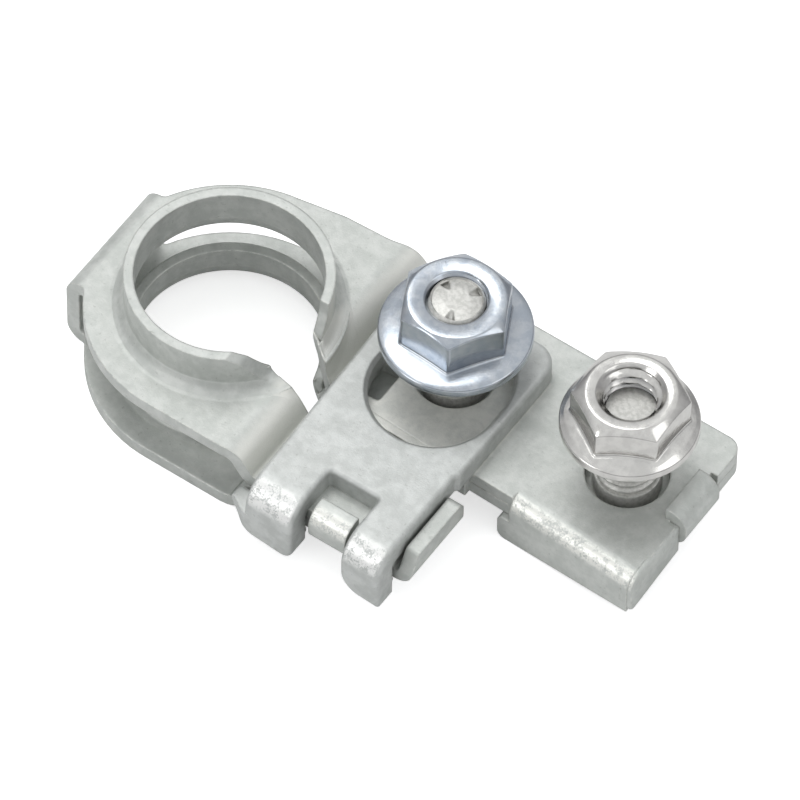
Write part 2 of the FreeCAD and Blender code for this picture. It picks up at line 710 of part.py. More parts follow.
def make_nut(label, kind, rise, corner_angle):
    """Flange nut: a hexagon on a sloping flange, a bore for the stud, a chamfered crown and a countersink."""
    body = make_body(label)
    bottom, top = dim(f"{kind}_nut_bottom"), dim(f"{kind}_nut_top")
    reach = dim("nut_across_flats") / 2 / math.cos(math.radians(30))
    corners = []
    for step in range(6):
        angle = math.radians(corner_angle + 60 * step)
        corners.append((reach * math.cos(angle), reach * math.sin(angle), 0))
    sketch = add_sketch(body, "XY_Plane", f"{label}_hexagon", rounded_loop(corners), f"dims.{kind}_nut_bottom + 0.8")
    pad(body, sketch, f"{label}_crown", f"dims.{kind}_nut_top - dims.{kind}_nut_bottom - 0.8")
    flange = dim(f"{kind}_flange_radius")
    profile = rounded_loop([
        (0, bottom, 0), (flange, bottom, 0), (flange, bottom + 0.8, 0), (flange - 0.4, bottom + 1.15, 0),
        (4.9, bottom + rise, 0), (0, bottom + rise, 0),
    ])
    revolve(body, add_sketch(body, "XZ_Plane", f"{label}_flange_section", profile), f"{label}_flange")
    sketch = add_sketch(body, "XY_Plane", f"{label}_bore_outline", [])
    add_circle(sketch, 0, 0, "dims.nut_bore_radius")
    pocket(body, sketch, f"{label}_bore")
    inner, sink = dim("nut_bore_radius"), dim("countersink_radius")
    cone = rounded_loop([(0, top, 0), (sink, top, 0), (inner, top - sink + inner, 0), (0, top - sink + inner, 0)])
    revolve(body, add_sketch(body, "XZ_Plane", f"{label}_sink_section", cone), f"{label}_countersink", "Groove")
    ring = dim(f"{kind}_chamfer_radius")
    drop = (reach + 0.5 - ring) * math.tan(math.radians(30))
    bevel = rounded_loop([(ring, top, 0), (reach + 0.5, top, 0), (reach + 0.5, top - drop, 0)])
    revolve(body, add_sketch(body, "XZ_Plane", f"{label}_bevel_section", bevel), f"{label}_bevel", "Groove")
    place_on_row(body, f"{kind}_stud_place")
    return body


# Finish


def write_parts(bodies):
    """Check every object, then write one file per sub-part."""
    doc.recompute()
    for item in doc.Objects:
        if "Invalid" in item.State or "Error" in item.State:
            raise RuntimeError(f"{item.Label} did not build: {item.State}")
    os.makedirs("parts", exist_ok=True)
    for body in bodies:
        shape = body.Shape
        if shape.isNull() or not shape.isValid():
            raise RuntimeError(f"{body.Label} is not a valid solid")
        print(body.Label, len(shape.Solids), "solid", round(shape.Volume, 1), "mm3", shape.BoundBox)
        shape.exportStep(f"parts/{body.Label}.step")


write_parts([
    make_clamp_body(),
    make_lever(),
    make_stud("clamp_stud", "clamp_stud_place", "dims.clamp_stud_top"),
    make_stud("terminal_stud", "terminal_stud_place", "dims.terminal_stud_top"),
    make_nut("clamp_nut", "clamp", 1.6, -3),
    make_nut("terminal_nut", "terminal", 2.1, 29),
])
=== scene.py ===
"""Looks of the battery terminal clamp: tin-plated folded sheet, hooked lever, two studs and two flange nuts."""

import logging
import math
from dataclasses import dataclass, field
from enum import Enum
from typing import Any, Sequence

import bpy
import numpy as np
from mathutils import Matrix, Vector
from mathutils.bvhtree import BVHTree


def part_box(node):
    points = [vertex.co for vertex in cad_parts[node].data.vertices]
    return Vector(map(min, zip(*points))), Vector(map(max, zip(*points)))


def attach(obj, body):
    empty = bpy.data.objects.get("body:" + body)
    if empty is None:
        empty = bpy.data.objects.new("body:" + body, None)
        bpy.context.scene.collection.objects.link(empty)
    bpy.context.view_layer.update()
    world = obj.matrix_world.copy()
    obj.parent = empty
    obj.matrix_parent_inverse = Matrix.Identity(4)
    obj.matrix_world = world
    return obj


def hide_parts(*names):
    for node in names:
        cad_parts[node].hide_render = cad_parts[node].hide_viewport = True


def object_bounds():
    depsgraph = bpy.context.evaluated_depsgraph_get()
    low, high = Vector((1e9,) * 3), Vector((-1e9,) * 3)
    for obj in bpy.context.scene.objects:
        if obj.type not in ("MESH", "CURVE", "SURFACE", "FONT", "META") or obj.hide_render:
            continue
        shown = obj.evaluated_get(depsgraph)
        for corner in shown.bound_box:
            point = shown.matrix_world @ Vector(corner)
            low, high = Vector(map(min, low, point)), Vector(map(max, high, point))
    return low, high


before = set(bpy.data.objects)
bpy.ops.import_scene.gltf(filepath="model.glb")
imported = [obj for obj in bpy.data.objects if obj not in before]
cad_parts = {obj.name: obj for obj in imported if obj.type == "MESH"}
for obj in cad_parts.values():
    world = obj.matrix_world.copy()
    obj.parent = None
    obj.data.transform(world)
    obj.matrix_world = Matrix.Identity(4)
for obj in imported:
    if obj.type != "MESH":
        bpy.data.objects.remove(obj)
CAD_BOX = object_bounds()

LOG = logging.getLogger("battery_terminal_clamp")
MM = 0.001
Colour = tuple[float, float, float]
Rectangle = tuple[float, float, float, float]


# Shader maths


class Wire:
    """One output socket of a shader tree, with arithmetic that adds Math nodes."""

    def __init__(self, tree: "ShaderTree", socket: bpy.types.NodeSocket) -> None:
        """Keep the socket and the tree that it belongs to."""
        self.tree = tree
        self.socket = socket

    def _math(self, operation: str, *operands: Any) -> "Wire":
        """Add a Math node.

        Args:
            operation: The node's operation, such as ADD.
            operands: Wires or numbers, in the node's order.

        Returns:
            The result.
        """
        values = dict(enumerate(operands))
        return self.tree.add("ShaderNodeMath", {"operation": operation}, values)

    def __add__(self, other: Any) -> "Wire":
        """Sum."""
        return self._math("ADD", self, other)

    def __radd__(self, other: Any) -> "Wire":
        """Sum with a number first."""
        return self._math("ADD", other, self)

    def __sub__(self, other: Any) -> "Wire":
        """Difference."""
        return self._math("SUBTRACT", self, other)

    def __rsub__(self, other: Any) -> "Wire":
        """Difference with a number first."""
        return self._math("SUBTRACT", other, self)

    def __mul__(self, other: Any) -> "Wire":
        """Product."""
        return self._math("MULTIPLY", self, other)

    def __rmul__(self, other: Any) -> "Wire":
        """Product with a number first."""
        return self._math("MULTIPLY", other, self)

    def limited(self) -> "Wire":
        """The value held between 0 and 1."""
        return self._math("MINIMUM", self._math("MAXIMUM", self, 0.0), 1.0)

    def larger(self, other: Any) -> "Wire":
        """The larger of two values."""
        return self._math("MAXIMUM", self, other)

    def distance(self) -> "Wire":
        """The value without its sign."""
        return self._math("ABSOLUTE", self)

    def step(self, low: float, high: float) -> "Wire":
        """Rise smoothly from 0 at low to 1 at high; low may be the larger one.

        Args:
            low: Where the result is 0.
            high: Where the result is 1.

        Returns:
            The smooth step.
        """
        falling = low > high
        settings = {"interpolation_type": "SMOOTHSTEP", "clamp": True}
        first, last = (high, low) if falling else (low, high)
        start, end = (1.0, 0.0) if falling else (0.0, 1.0)
        values = {"Value": self, "From Min": first, "From Max": last, "To Min": start, "To Max": end}
        return self.tree.add("ShaderNodeMapRange", settings, values)


class ShaderTree:
    """Node tree of one material, built with expressions."""

    def __init__(self, material: bpy.types.Material) -> None:
        """Empty the material's tree and add the shader and output."""
        material.use_nodes = True
        self.nodes = material.node_tree.nodes
        self.links = material.node_tree.links
        self.nodes.clear()
        self.shader = self.nodes.new("ShaderNodeBsdfPrincipled")
        output = self.nodes.new("ShaderNodeOutputMaterial")
        self.links.new(self.shader.outputs["BSDF"], output.inputs["Surface"])

    def add(self, kind: str, settings: dict[str, Any], values: dict[Any, Any], output: Any = 0) -> Wire:
        """Add any node.

        Args:
            kind: Blender's name of the node type.
            settings: Properties of the node, set first.
            values: Wires, numbers or colours by socket name or number.
            output: Name or number of the wanted output.

        Returns:
            The wanted output.
        """
        node = self.nodes.new(kind)
        for name, value in settings.items():
            setattr(node, name, value)
        for name, value in values.items():
            if isinstance(value, Wire):
                self.links.new(value.socket, node.inputs[name])
            else:
                node.inputs[name].default_value = value
        return Wire(self, node.outputs[output])

    def feed(self, name: str, value: Any) -> None:
        """Set or link an input of the main shader."""
        if isinstance(value, Wire):
            self.links.new(value.socket, self.shader.inputs[name])
        else:
            self.shader.inputs[name].default_value = value

    def constant(self, value: float) -> Wire:
        """A number as a wire."""
        return self.add("ShaderNodeMath", {"operation": "ADD"}, {0: value, 1: 0.0})

    def place(self) -> Wire:
        """Position on the piece, in millimetres."""
        point = self.add("ShaderNodeTexCoord", {}, {}, "Object")
        return self.add("ShaderNodeVectorMath", {"operation": "SCALE"}, {0: point, "Scale": 1 / MM})

    def parts(self, vector: Wire) -> tuple[Wire, Wire, Wire]:
        """The three components of a vector."""
        first = self.add("ShaderNodeSeparateXYZ", {}, {0: vector})
        node = first.socket.node
        return first, Wire(self, node.outputs[1]), Wire(self, node.outputs[2])

    def dot(self, first: Any, second: Any) -> Wire:
        """Dot product of two vectors."""
        return self.add("ShaderNodeVectorMath", {"operation": "DOT_PRODUCT"}, {0: first, 1: second}, "Value")

    def noise(self, place: Wire, per_mm: float, detail: float = 2.0, rough: float = 0.5) -> Wire:
        """Noise of a given fineness.

        Args:
            place: Position in millimetres.
            per_mm: Lumps per millimetre.
            detail: Octaves.
            rough: Weight of the finer octaves.

        Returns:
            A value about 0.5.
        """
        values = {"Vector": place, "Scale": per_mm, "Detail": detail, "Roughness": rough}
        return self.add("ShaderNodeTexNoise", {}, values, "Fac")

    def blend(self, factor: Wire, first: Any, second: Any) -> Wire:
        """Mix two colours, each a wire or red, green and blue."""
        pair = {6: self.paint(first), 7: self.paint(second), 0: factor}
        return self.add("ShaderNodeMix", {"data_type": "RGBA"}, pair, 2)

    @staticmethod
    def paint(colour: Any) -> Any:
        """A colour ready for a socket."""
        return colour if isinstance(colour, Wire) else (*colour, 1.0)

    def normal(self) -> Wire:
        """The surface's own normal in the piece's space."""
        return self.add("ShaderNodeTexCoord", {}, {}, "Normal")

    def eased_normal(self, radius: float) -> Wire:
        """World normal with sharp edges rounded.

        Args:
            radius: Rounding radius in millimetres.

        Returns:
            The normal.
        """
        return self.add("ShaderNodeBevel", {"samples": 6}, {"Radius": radius * MM})

    def edges(self, eased: Wire) -> Wire:
        """How far an eased normal leaves the plain one: 0 on faces, rising at edges."""
        plain = self.add("ShaderNodeNewGeometry", {}, {}, "Normal")
        return 1.0 - self.dot(eased, plain)

    def shelter(self, reach: float) -> Wire:
        """How closed in a place is within a reach in millimetres: 0 in the open, 1 in a crevice."""
        return 1.0 - self.add("ShaderNodeAmbientOcclusion", {"samples": 6}, {"Distance": reach * MM}, "AO")

    def bump(self, height: Wire, depth: float, normal: Wire | None = None) -> Wire:
        """Turn a height map into a normal.

        Args:
            height: Height from 0 to 1.
            depth: Depth in millimetres of one unit of height.
            normal: Normal to start from.

        Returns:
            The bumped normal.
        """
        values: dict[Any, Any] = {"Height": height, "Distance": depth * MM}
        if normal is not None:
            values["Normal"] = normal
        return self.add("ShaderNodeBump", {}, values)


# Finishes


@dataclass(frozen=True)
class Finish:
    """Base of all finishes: a named material of one slot."""

    name: str
    slot: str

    def build(self) -> bpy.types.Material:
        """Make the material."""
        material = bpy.data.materials.new(self.name)
        self.shade(ShaderTree(material))
        return material

    def shade(self, tree: ShaderTree) -> None:
        """Fill the tree; each finish has its own."""
        raise NotImplementedError


@dataclass(frozen=True)
class TinPlate(Finish):
    """Dull tin plating on stamped sheet, burnished at its bends and where it was scuffed, with painted
    highlights on folds and edges, painted shade in crevices and painted light on the ramps and inside the
    lever's slot.

    The rectangles in plan give a middle X, half a width, a front Y and a back Y, in millimetres.
    """

    base: Colour = (0.50, 0.52, 0.495)
    pale: Colour = (0.60, 0.615, 0.59)
    # Pale colour for burnished wear, also used for painted highlights and painted light.
    wear_and_light: Colour = (0.84, 0.84, 0.79)
    # Dark colour of real specks, also used for painted shade in crevices.
    stain_and_shade: Colour = (0.20, 0.21, 0.185)
    metallic: float = 0.60
    rounding: float = 0.30
    # Plan rectangles of folds that get burnished wear and a painted highlight.
    rubbed_and_sheen: tuple[Rectangle, ...] = ()
    # Plan rectangles where painted light lifts the shade inside the lever's slot.
    slot_light_areas: tuple[Rectangle, ...] = ()

    def shade(self, tree: ShaderTree) -> None:
        """Mottled grey metal with grain; bright folds and edges, partly burnished and partly painted highlight;
        painted shade in crevices; painted light on the ramps and in the lever's slot.
        """
        place = tree.place()
        eased = tree.eased_normal(self.rounding)
        broad = tree.noise(place, 0.35, 3, 0.6)
        blotch = tree.noise(place, 1.1, 4, 0.65)
        grain = tree.noise(place, 7.0, 3, 0.6)
        specks = tree.noise(place, 2.6, 2, 0.5).step(0.66, 0.74)
        tone = (broad * 0.5 + blotch * 0.5).step(0.38, 0.64)
        colour = tree.blend(tone, self.base, self.pale)
        colour = tree.blend(specks * 0.25, colour, self.stain_and_shade)
        # Painted shade: crevices and corners, where shade falls, are darkened in the colour; the same dark
        # colour also gives the specks, which are real marks.
        crevice = tree.shelter(1.6).step(0.40, 1.0)
        colour = tree.blend((crevice * 0.42).limited(), colour, self.stain_and_shade)
        # Painted light: the arms inside the lever's slot are lightened to offset the shade under the lever and
        # nut.
        colour = tree.blend(self.painted_slot_light(tree, place) * (0.55 + tone * 0.35), colour, self.wear_and_light)
        # Painted light: the slopes between the ring and the arms are lightened where they would look dark under
        # the lamps.
        colour = tree.blend(self.ramp(tree, place) * 0.8, colour, self.wear_and_light)
        # Bright edges and folds: partly burnished wear, partly a painted highlight where edges and bends would
        # catch the light.
        edge = tree.edges(eased).step(0.03, 0.22)
        rub_and_sheen = edge * tree.noise(place, 1.7, 3, 0.6).step(0.36, 0.62)
        rub_and_sheen = rub_and_sheen.larger(self.fold_wear_and_sheen(tree, place))
        colour = tree.blend((rub_and_sheen * 0.85).limited(), colour, self.wear_and_light)
        tree.feed("Base Color", colour)
        tree.feed("Metallic", self.metallic)
        pores = tree.noise(place, 3.4, 5, 0.7)
        tree.feed("Roughness", (0.40 + grain * 0.16 + blotch * 0.08 - rub_and_sheen * 0.2).limited())
        height = grain * 0.35 + pores * 0.65
        tree.feed("Normal", tree.bump(height, 0.035, eased))

    @staticmethod
    def within(tree: ShaderTree, place: Wire, areas: Sequence[Rectangle], out: Rectangle) -> Wire:
        """Mask of rectangles in plan.

        Args:
            tree: The material's tree.
            place: Position in millimetres.
            areas: The rectangles.
            out: How far outside its sides a mask starts and is full, in X and then in Y.

        Returns:
            0 outside all of them, 1 inside one.
        """
        x, y, _ = tree.parts(place)
        mask = tree.constant(0.0)
        for centre, half_width, front, back in areas:
            half_depth = abs(back - front) / 2
            across = (x - centre).distance().step(half_width + out[0], half_width + out[1])
            along = (y - (front + back) / 2).distance().step(half_depth + out[2], half_depth + out[3])
            mask = mask.larger(across * along)
        return mask

    def painted_slot_light(self, tree: ShaderTree, place: Wire) -> Wire:
        """Mask of painted light: a paler colour put on the arms inside the lever's slot, where the lever and
        nut cast shade.
        """
        _, _, z = tree.parts(place)
        area = self.within(tree, place, self.slot_light_areas, (0.0, -0.6, 0.0, -0.6))
        return area * z.step(-0.6, -0.2) * z.step(0.8, 0.4)

    def ramp(self, tree: ShaderTree, place: Wire) -> Wire:
        """Mask of painted light on the slope between the ring and the arms, which is lightened where it would
        lie in shade.
        """
        x, _, z = tree.parts(place)
        slope = tree.dot(tree.normal(), (1.0, 0.0, 0.0)).step(0.12, 0.65)
        return slope * x.step(8.8, 9.8) * x.step(15.0, 14.0) * z.step(-0.6, 0.0)

    def fold_wear_and_sheen(self, tree: ShaderTree, place: Wire) -> Wire:
        """Crackled pale marks on the outside of folds, where the metal faces forward and up: partly burnished
        wear and partly a painted highlight.

        Args:
            tree: The material's tree.
            place: Position in millimetres.

        Returns:
            The mask of worn metal.
        """
        coarse = tree.noise(place, 1.2, 2, 0.5)
        crackle = (tree.noise(place, 5.0, 5, 0.7) * 0.6 + coarse * 0.4).step(0.42, 0.53)
        facing = tree.dot(tree.normal(), (0.0, -math.sqrt(0.5), math.sqrt(0.5)))
        area = self.within(tree, place, self.rubbed_and_sheen, (0.4, -0.2, 0.3, 0.0))
        return area * facing.step(0.80, 0.97) * crackle


@dataclass(frozen=True)
class PlatedNut(Finish):
    """Bright plating on a turned or forged nut."""

    base: Colour = (0.41, 0.45, 0.50)
    tint: Colour = (0.50, 0.53, 0.565)
    gloss: float = 0.16
    metallic: float = 1.0
    shelter: float = 4.0
    # Colour of the painted shade in sheltered places.
    painted_shade: Colour = (0.10, 0.105, 0.115)

    def shade(self, tree: ShaderTree) -> None:
        """Smooth plating with faint clouding, shallow pits, and painted shade on the sides near the flange and
        in corners.
        """
        place = tree.place()
        cloud = tree.noise(place, 0.8, 3, 0.6)
        fine = tree.noise(place, 5.0, 3, 0.6)
        # Painted shade: sheltered places, such as the hexagon's sides next to the flange, are darkened as if in
        # shade.
        corner = tree.shelter(self.shelter).step(0.12, 0.8)
        colour = tree.blend(cloud.step(0.35, 0.65), self.base, self.tint)
        colour = tree.blend((corner * 0.75).limited(), colour, self.painted_shade)
        tree.feed("Base Color", colour)
        tree.feed("Metallic", self.metallic)
        tree.feed("Roughness", (self.gloss + fine * 0.06 + cloud * 0.05).limited())
        tree.feed("Normal", tree.bump(fine * 0.4 + tree.noise(place, 1.6, 2, 0.5) * 0.6, 0.009))


@dataclass(frozen=True)
class StudMetal(Finish):
    """Dull tinned stud with a grainy end face."""

    base: Colour = (0.45, 0.45, 0.425)
    pale: Colour = (0.58, 0.575, 0.55)
    # Colour of the painted shade in the thread.
    painted_shade: Colour = (0.10, 0.10, 0.09)
    metallic: float = 0.65

    def shade(self, tree: ShaderTree) -> None:
        """Grainy pale metal, with painted shade in the thread."""
        place = tree.place()
        blotch = tree.noise(place, 2.4, 4, 0.65)
        grain = tree.noise(place, 9.0, 3, 0.6)
        # Painted shade: the thread's hollows are darkened as if in shade.
        groove_shade = tree.shelter(0.7).step(0.3, 1.0)
        colour = tree.blend(blotch.step(0.36, 0.62), self.base, self.pale)
        colour = tree.blend((groove_shade * 0.5).limited(), colour, self.painted_shade)
        tree.feed("Base Color", colour)
        tree.feed("Metallic", self.metallic)
        tree.feed("Roughness", (0.30 + grain * 0.14 + blotch * 0.08).limited())
        tree.feed("Normal", tree.bump(grain * 0.5 + blotch * 0.5, 0.03))


# Turned shapes


def new_piece(name: str, points: np.ndarray, faces: Sequence[Sequence[int]]) -> bpy.types.Object:
    """Add a piece to the scene.

    Args:
        name: Name of the piece.
        points: Corners in millimetres, one row each.
        faces: Corner numbers of each face.

    Returns:
        The piece.
    """
    mesh = bpy.data.meshes.new(name)
    mesh.from_pydata(list(map(tuple, points * MM)), [], faces)
    mesh.update()
    piece = bpy.data.objects.new(name, mesh)
    bpy.context.scene.collection.objects.link(piece)
    return piece


def smooth(piece: bpy.types.Object, angle: float) -> None:
    """Shade a piece smooth except where faces meet at more than an angle in degrees."""
    mesh = piece.data
    mesh.shade_smooth()
    mesh.set_sharp_from_angle(angle=math.radians(angle))


def middle(low: Vector, high: Vector) -> tuple[float, float]:
    """Plan position of the middle of a box given in metres, in millimetres."""
    return (low.x + high.x) / 2 / MM, (low.y + high.y) / 2 / MM


class Turning:
    """A surface made of rings about a vertical axis, whose radius may change with the angle."""

    def __init__(self, steps: int, start_angle: float = 0.0) -> None:
        """Set up the angles.

        Args:
            steps: Points round each ring.
            start_angle: Angle of the first point, in degrees.
        """
        self.angles = math.radians(start_angle) + np.arange(steps) * 2 * math.pi / steps
        self.rings: list[tuple[np.ndarray, np.ndarray]] = []

    def ring(self, radius: Any, height: Any) -> None:
        """Add a ring; radius and height are numbers or arrays over the angles, in millimetres."""
        even = np.ones_like(self.angles)
        self.rings.append((radius * even, height * even))

    def mesh(self, name: str, centre: tuple[float, float], closed: bool) -> bpy.types.Object:
        """Join the rings with faces.

        Args:
            name: Name of the piece.
            centre: Plan position of the axis, in millimetres.
            closed: True joins the last ring to the first; False closes both ends with a face.

        Returns:
            The piece.
        """
        count = len(self.angles)
        points = []
        for radius, height in self.rings:
            x = centre[0] + radius * np.cos(self.angles)
            y = centre[1] + radius * np.sin(self.angles)
            points.append(np.stack([x, y, height], 1))
        faces: list[Sequence[int]] = []
        spans = len(self.rings) if closed else len(self.rings) - 1
        for row in range(spans):
            low = row * count
            high = (row + 1) % len(self.rings) * count
            for i in range(count):
                j = (i + 1) % count
                faces.append((low + i, low + j, high + j, high + i))
        if not closed:
            for row, turn in ((0, -1), (len(self.rings) - 1, 1)):
                ring = list(range(row * count, (row + 1) * count))
                faces.append(ring[::turn])
        return new_piece(name, np.concatenate(points), faces)


@dataclass(frozen=True)
class Thread:
    """Right-hand thread of a given size, in millimetres."""

    crest: float = 3.0
    pitch: float = 1.0
    depth: float = 0.61
    root_share: float = 0.12
    flank_share: float = 0.70

    def radius(self, angles: np.ndarray, height: float) -> np.ndarray:
        """Radius of an outside thread.

        Args:
            angles: Angles round the axis.
            height: Height in millimetres.

        Returns:
            One radius per angle.
        """
        phase = (height / self.pitch - angles / (2 * math.pi)) % 1.0
        rise = np.abs(phase * 2 - 1)
        shape = np.clip((rise - self.root_share) / self.flank_share, 0.0, 1.0)
        return self.crest - self.depth * (1.0 - shape)


class StudEnd(Enum):
    """How the end of a stud is finished."""

    PLAIN = "plain"
    STAKED = "staked"


@dataclass
class ThreadedStud:
    """Stud with a square head under the sheet, a plain shoulder, a thread and a chamfered end."""

    node: str
    top: float
    end: StudEnd
    steps: int = 192
    rows_per_turn: int = 14
    head_half: float = 4.8
    head_corner: float = 0.8
    head_bottom: float = -6.1
    head_top: float = -3.1
    shoulder_radius: float = 3.3
    shoulder_top: float = 0.6
    lead_in: float = 0.8
    chamfer: float = 0.45
    stake_angles: tuple[float, float, float] = (154.0, 60.0, -72.0)
    thread: Thread = field(default_factory=Thread)

    def square(self, angles: np.ndarray, half: float) -> np.ndarray:
        """Outline of a rounded square.

        Args:
            angles: Angles round the axis.
            half: Half its side in millimetres.

        Returns:
            One radius per angle.
        """
        fold = np.abs((angles + math.pi / 4) % (math.pi / 2) - math.pi / 4)
        flat = half / np.cos(fold)
        inset = (half - self.head_corner) * math.sqrt(2)
        off = math.pi / 4 - fold
        under = np.maximum(self.head_corner ** 2 - (inset * np.sin(off)) ** 2, 0.0)
        arc = inset * np.cos(off) + np.sqrt(under)
        limit = math.atan2(half - self.head_corner, half)
        return np.where(fold > limit, arc, flat)

    def build(self) -> bpy.types.Object:
        """Make the stud's mesh, from the head up."""
        low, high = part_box(self.node)
        turning = Turning(self.steps)
        self.head_rings(turning)
        self.shoulder_rings(turning)
        self.thread_rings(turning)
        self.end_rings(turning)
        piece = turning.mesh(f"{self.node}_detail", middle(low, high), closed=False)
        smooth(piece, 35)
        return piece

    def head_rings(self, turning: Turning) -> None:
        """Underside of the head, its rounded lower edge and its sides."""
        outline = self.square(turning.angles, self.head_half)
        bottom, top = self.head_bottom, self.head_top
        turning.ring(outline * 0.5, bottom)
        edge = ((0.35, bottom), (0.1, bottom + 0.1), (0.0, bottom + 0.35), (0.0, top - 0.02), (0.02, top))
        for inset, height in edge:
            turning.ring(outline - inset, height)

    def shoulder_rings(self, turning: Turning) -> None:
        """Plain shoulder with a rounded upper edge."""
        turning.ring(self.shoulder_radius, self.head_top)
        for inset, drop in ((0.0, 0.25), (0.07, 0.07), (0.25, 0.0)):
            turning.ring(self.shoulder_radius - inset, self.shoulder_top - drop)

    def thread_rings(self, turning: Turning) -> None:
        """Thread, which grows from nothing over the lead-in and ends in the chamfer."""
        crest, length = self.thread.crest, self.top - self.shoulder_top
        count = int(length * self.rows_per_turn / self.thread.pitch)
        for row in range(count + 1):
            height = self.shoulder_top + length * row / count
            lead = min(1.0, (height - self.shoulder_top) / self.lead_in)
            radius = crest - (crest - self.thread.radius(turning.angles, height)) * lead
            bevel = max(0.0, height - self.top + self.chamfer)
            turning.ring(np.minimum(radius, crest - bevel), height)

    def end_rings(self, turning: Turning) -> None:
        """End face, on one stud with three pressed stakes that keep the nut from coming off."""
        radius = self.thread.crest - self.chamfer
        rings = 22
        for row in range(1, rings):
            reach = radius * (1 - row / rings)
            height = self.top * np.ones_like(turning.angles)
            if self.end is StudEnd.STAKED:
                height = height - self.stake_depth(turning.angles, reach)
            turning.ring(reach, height)

    def stake_depth(self, angles: np.ndarray, reach: float) -> np.ndarray:
        """Wedge-shaped stakes on a slightly domed face.

        Args:
            angles: Angles round the axis.
            reach: Radius in millimetres.

        Returns:
            Depth below the end's top at each angle.
        """
        stakes = np.zeros_like(angles)
        for stake in self.stake_angles:
            off = (angles - math.radians(stake) + math.pi) % (2 * math.pi) - math.pi
            aside = np.abs(np.sin(off)) * reach
            outward = np.where(np.cos(off) > 0, np.cos(off) * reach, 0.0)
            share = np.clip((outward - 1.3) / 1.2, 0.0, 1.0)
            wedge = np.clip((0.16 + 0.42 * share - aside) / 0.24, 0.0, 1.0)
            start = np.clip(share * 5, 0.0, 1.0)
            stakes = np.maximum(stakes, (0.12 + 0.34 * share) * wedge * start)
        dome = np.clip((reach - 1.2) / 1.4, 0.0, 1.0) ** 1.5 * 0.22
        return stakes + dome


@dataclass
class FlangeNut:
    """M6 hexagon nut with a sloping flange, chamfered crown and threaded bore.

    flange and crown are radii, rise the flange's height at the hexagon, corner a corner's angle in degrees,
    and lift how far the underside and the top lie above the frame's node.
    """

    node: str
    flange: float
    crown: float
    rise: float
    corner: float
    steps: int = 240
    across: float = 10.0
    corner_round: float = 0.25
    rim_height: float = 1.15
    slope_start: float = 4.9
    edge: float = 0.3
    root: float = 0.3
    sink: float = 3.45
    lift: tuple[float, float] = (0.0, 0.0)
    thread: Thread = field(default_factory=Thread)

    def hexagon(self, angles: np.ndarray) -> np.ndarray:
        """Outline of the rounded hexagon.

        Args:
            angles: Angles round the axis.

        Returns:
            One radius per angle.
        """
        half = self.across / 2
        sector = math.pi / 3
        off_corner = np.abs((angles - math.radians(self.corner) + sector / 2) % sector - sector / 2)
        off_flat = sector / 2 - off_corner
        flat = half / np.cos(off_flat)
        inset = (half - self.corner_round) / math.cos(math.pi / 6)
        under = np.maximum(self.corner_round ** 2 - (inset * np.sin(off_corner)) ** 2, 0.0)
        arc = inset * np.cos(off_corner) + np.sqrt(under)
        limit = math.atan((half - self.corner_round) * math.tan(math.pi / 6) / half)
        return np.where(off_flat > limit, arc, flat)

    def build(self) -> bpy.types.Object:
        """Make the nut's mesh, from the underside round the flange and crown and down the bore."""
        low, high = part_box(self.node)
        bottom, top = low.z / MM + self.lift[0], high.z / MM + self.lift[1]
        turning = Turning(self.steps, self.corner)
        self.flange_rings(turning, bottom)
        self.crown_rings(turning, bottom, top)
        self.bore_rings(turning, bottom, top)
        piece = turning.mesh(f"{self.node}_detail", middle(low, high), closed=True)
        smooth(piece, 40)
        return piece

    def slope(self, radius: np.ndarray) -> np.ndarray:
        """Height of the flange's top above the underside at a radius."""
        fall = (self.rise - self.rim_height) / (self.flange - self.slope_start)
        return self.rise - (radius - self.slope_start) * fall

    def flange_rings(self, turning: Turning, bottom: float) -> None:
        """Underside, rounded edge and sloping top of the flange."""
        edge, rim = self.edge, self.flange - self.edge
        turning.ring(self.thread.crest + 0.35, bottom)
        turning.ring(self.flange - 1.2, bottom)
        for turn in np.linspace(0.0, math.pi / 2, 7):
            turning.ring(rim + edge * math.sin(turn), bottom + edge - edge * math.cos(turn))
        for turn in np.linspace(0.0, math.pi / 2 * 0.8, 6):
            turning.ring(rim + edge * math.cos(turn), bottom + self.rim_height - edge + edge * math.sin(turn))
        hexagon = self.hexagon(turning.angles) + self.root
        for share in (0.15, 0.4, 0.7):
            radius = (self.flange - 0.35) * (1 - share) + hexagon * share
            turning.ring(radius, bottom + self.slope(radius))

    def crown_rings(self, turning: Turning, bottom: float, top: float) -> None:
        """Root of the hexagon, its flats, the chamfer and the top face."""
        hexagon, root, crown = self.hexagon(turning.angles), self.root, self.crown
        bevel = math.tan(math.radians(30))
        foot = bottom + self.slope(hexagon + root)
        for turn in np.linspace(0.0, math.pi / 2, 5):
            turning.ring(hexagon + root * (1 - math.sin(turn)), foot + root * (1 - math.cos(turn)))
        shoulder = top - (hexagon - crown) * bevel
        for inset, height in ((0.0, -0.14), (0.015, -0.05), (0.07, 0.02)):
            turning.ring(hexagon - inset, shoulder + height)
        turning.ring(np.minimum(hexagon - 0.12, crown + 0.15), top - 0.15 * bevel)
        turning.ring(crown + 0.03, top - 0.012)
        turning.ring(crown - 0.08, top)

    def bore_rings(self, turning: Turning, bottom: float, top: float) -> None:
        """Countersink and inside thread, both ends of which widen at 45 degrees."""
        turning.ring(self.sink + 0.08, top)
        turning.ring(self.sink, top - 0.03)
        rows_per_mm = 11
        clearance = 0.09
        start = top - 0.04
        count = int((start - bottom) * rows_per_mm)
        for row in range(count + 1):
            height = start - (start - bottom) * row / count
            upper = self.sink - (top - height)
            lower = self.thread.crest + 0.3 - (height - bottom)
            inside = self.thread.radius(turning.angles, height) + clearance
            turning.ring(np.maximum(np.maximum(inside, upper), lower), height)


# Formed sheet


